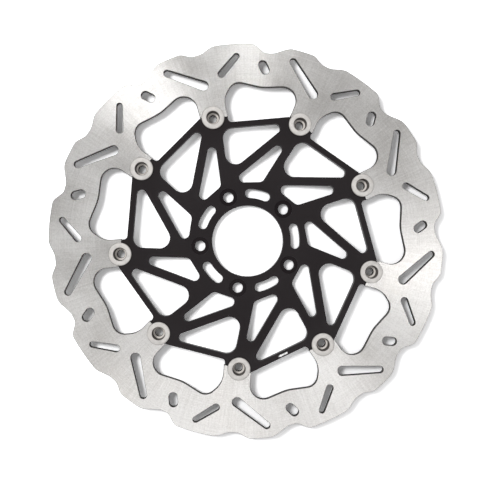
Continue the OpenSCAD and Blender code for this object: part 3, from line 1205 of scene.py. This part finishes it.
class DISC_OT_direction_mark(bpy.types.Operator):
    """Print the arrow that shows the running direction on one chord arm"""

    bl_idname = "disc.direction_mark"
    bl_label = "Direction mark"

    def execute(self, context):
        low = CARRIER_HIGH.z
        high = low + MARK_THICKNESS
        half, tip, tail = MARK_LINE / 2, MARK_LENGTH / 2, -MARK_LENGTH / 2
        neck = tip - MARK_HEAD
        arrow = [
            complex(tail, -half), complex(neck, -half), complex(neck, -MARK_BARB), complex(tip, 0),
            complex(neck, MARK_BARB), complex(neck, half), complex(tail, half),
        ]
        arm = shifted(turned(CHORD, MARK_ARM * PITCH), MARK_OFFSET)
        foot = normal(arm) * arm.distance
        outline = [foot + (MARK_ALONG + point) * polar(1, arm.direction) for point in arrow]
        mesh = whole_plate([[(outline, low), (outline, high)]]).mesh("direction_mark")
        colours = context.scene.disc_finish
        finish = stamped_steel("mark_paint", colours.mark_paint, colours.mark_roughness, metallic=0.0)
        piece = repeated_piece("direction_mark", mesh, 1, finish)
        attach(piece, "carrier")
        return {"FINISHED"}


# Angle in the picture, elevation, distance and width of the lamp that casts the shadow
KEY_AZIMUTH = 150
KEY_ELEVATION = 57
KEY_DISTANCE = 1.13
KEY_SIZE = 0.35
# Lamps that only metal mirrors: angle in the picture, elevation, part of the strength and spread
FAN_LAMPS = (
    ("upper_lamp", 121, 61, 1.35, 12),
    ("top_lamp", 84, 56, 0.7, 4),
    ("left_lamp", 206, 62, 0.32, 14),
    ("lower_lamp", 259, 72, 1, 22),
    ("corner_lamp", 306, 64, 0.5, 18),
    ("right_lamp", 351, 66, 0.95, 13),
    ("far_lamp", 20, 64, 0.2, 16),
)
# Height of a direction, as the sine of its angle, where the sky starts and ends to dim
SKY_LOW = 0.35
SKY_HIGH = 0.85
# Turn of the picture against the frame, and where the lens stands and aims in the picture
PICTURE_TURN = 185.9
CAMERA_STAND = (-25.3 - 1.3j) * MM
CAMERA_AIM = (-6.5 + 0.8j) * MM
# Focal length in millimetres, and the nearest distance that the lens sees
CAMERA_LENS = 50
CAMERA_NEAR = 10 * MM


class DISC_OT_stage(bpy.types.Operator):
    """Set the floor, the light and the camera as the disc is photographed, lying face up"""

    bl_idname = "disc.stage"
    bl_label = "Stage"

    def add_floor(self, settings):
        """A wide sheet of paper under the disc."""
        half = settings.floor_size / 2
        height = CAD_BOX[0][2]
        mesh = bpy.data.meshes.new("floor")
        signs = ((-1, -1), (1, -1), (1, 1), (-1, 1))
        mesh.from_pydata([(half * x, half * y, height) for x, y in signs], [], [(0, 1, 2, 3)])
        mesh.materials.append(floor_paper(settings.floor_colour, settings.floor_gain))
        floor = bpy.data.objects.new("floor", mesh)
        bpy.context.scene.collection.objects.link(floor)

    def add_lamp(self, name, lamp, azimuth, elevation):
        """Aim a lamp at the disc from an angle in the picture, and return it with its direction."""
        across = polar(math.cos(math.radians(elevation)), azimuth - PICTURE_TURN)
        towards = Vector((across.real, across.imag, math.sin(math.radians(elevation))))
        holder = bpy.data.objects.new(name, lamp)
        holder.rotation_euler = towards.to_track_quat("Z", "Y").to_euler()
        bpy.context.scene.collection.objects.link(holder)
        return holder, towards

    def add_key_lamp(self, settings):
        """The round soft box that stands near the disc and casts its shadow."""
        lamp = bpy.data.lights.new("key_lamp", "AREA")
        lamp.shape = "DISK"
        lamp.size = KEY_SIZE
        lamp.energy = settings.key_light * math.pi * KEY_DISTANCE**2
        holder, towards = self.add_lamp("key_lamp", lamp, KEY_AZIMUTH, KEY_ELEVATION)
        holder.location = towards * KEY_DISTANCE
        holder.visible_glossy = False

    def add_fan_lamp(self, settings, name, azimuth, elevation, part, spread):
        """A far lamp that only metal mirrors."""
        lamp = bpy.data.lights.new(name, "SUN")
        lamp.energy = settings.fan_light * part
        lamp.angle = math.radians(spread)
        holder, _ = self.add_lamp(name, lamp, azimuth, elevation)
        holder.visible_diffuse = False

    def add_world(self, settings):
        """Soft sky light: white at the horizon and dimmer overhead."""
        world = bpy.data.worlds.new("studio")
        world.use_nodes = True
        tree = world.node_tree
        tree.nodes.clear()
        direction = add_node(tree, "ShaderNodeTexCoord").outputs["Generated"]
        height = add_node(tree, "ShaderNodeSeparateXYZ", {0: direction}).outputs["Z"]
        dimming = add_node(tree, "ShaderNodeMapRange", {
            "Value": height, "From Min": SKY_LOW, "From Max": SKY_HIGH,
            "To Min": 1, "To Max": settings.sky_light,
        })
        sky = add_node(tree, "ShaderNodeBackground", {
            "Color": opaque((1, 1, 1)), "Strength": dimming.outputs[0],
        })
        add_node(tree, "ShaderNodeOutputWorld", {"Surface": sky.outputs[0]})
        bpy.context.scene.world = world

    def add_camera(self, settings):
        """A lens over the disc, off its middle and aimed as in the picture."""
        lens = bpy.data.cameras.new("camera")
        lens.lens = CAMERA_LENS
        lens.clip_start = CAMERA_NEAR
        camera = bpy.data.objects.new("camera", lens)
        aim = CAMERA_AIM * polar(1, -PICTURE_TURN)
        stand = CAMERA_STAND * polar(1, -PICTURE_TURN)
        target = Vector((aim.real, aim.imag, RING_HIGH.z))
        place = Vector((stand.real, stand.imag, RING_HIGH.z + settings.camera_height))
        upwards = polar(1, 90 - PICTURE_TURN)
        back = (place - target).normalized()
        right = Vector((upwards.real, upwards.imag, 0)).cross(back).normalized()
        up = back.cross(right)
        turn = Matrix((right, up, back)).transposed().to_4x4()
        camera.matrix_world = Matrix.Translation(place) @ turn
        bpy.context.scene.collection.objects.link(camera)
        bpy.context.scene.camera = camera

    def execute(self, context):
        settings = context.scene.disc_stage
        context.scene.view_settings.view_transform = "Standard"
        self.add_floor(settings)
        self.add_world(settings)
        self.add_key_lamp(settings)
        for fan_lamp in FAN_LAMPS:
            self.add_fan_lamp(settings, *fan_lamp)
        self.add_camera(settings)
        return {"FINISHED"}


class DISC_PT_sidebar(bpy.types.Panel):
    """Buttons for every piece of the disc"""

    bl_idname = "DISC_PT_sidebar"
    bl_label = "Brake Disc"
    bl_space_type = "VIEW_3D"
    bl_region_type = "UI"
    bl_category = "Brake Disc"

    def draw(self, context):
        for operator in OPERATORS:
            self.layout.operator(operator.bl_idname)


SETTINGS = {
    "disc_ring": RingSettings,
    "disc_carrier": CarrierSettings,
    "disc_bobbins": BobbinSettings,
    "disc_fastening": FasteningSettings,
    "disc_finish": FinishSettings,
    "disc_stage": StageSettings,
}
OPERATORS = (
    DISC_OT_stage,
    DISC_OT_friction_ring,
    DISC_OT_carrier,
    DISC_OT_direction_mark,
    DISC_OT_bobbins,
    DISC_OT_flat_washers,
    DISC_OT_wave_washers,
    DISC_OT_circlips,
)


def register():
    for cls in (*SETTINGS.values(), *OPERATORS, DISC_PT_sidebar):
        bpy.utils.register_class(cls)
    for name, group in SETTINGS.items():
        setattr(bpy.types.Scene, name, bpy.props.PointerProperty(type=group))


def unregister():
    for name in SETTINGS:
        delattr(bpy.types.Scene, name)
    for cls in reversed((*SETTINGS.values(), *OPERATORS, DISC_PT_sidebar)):
        bpy.utils.unregister_class(cls)


def main():
    register()
    bpy.ops.disc.stage()
    bpy.ops.disc.friction_ring()
    bpy.ops.disc.carrier()
    bpy.ops.disc.direction_mark()
    bpy.ops.disc.bobbins()
    bpy.ops.disc.flat_washers()
    bpy.ops.disc.wave_washers()
    bpy.ops.disc.circlips()


if __name__ == "__main__":
    main()
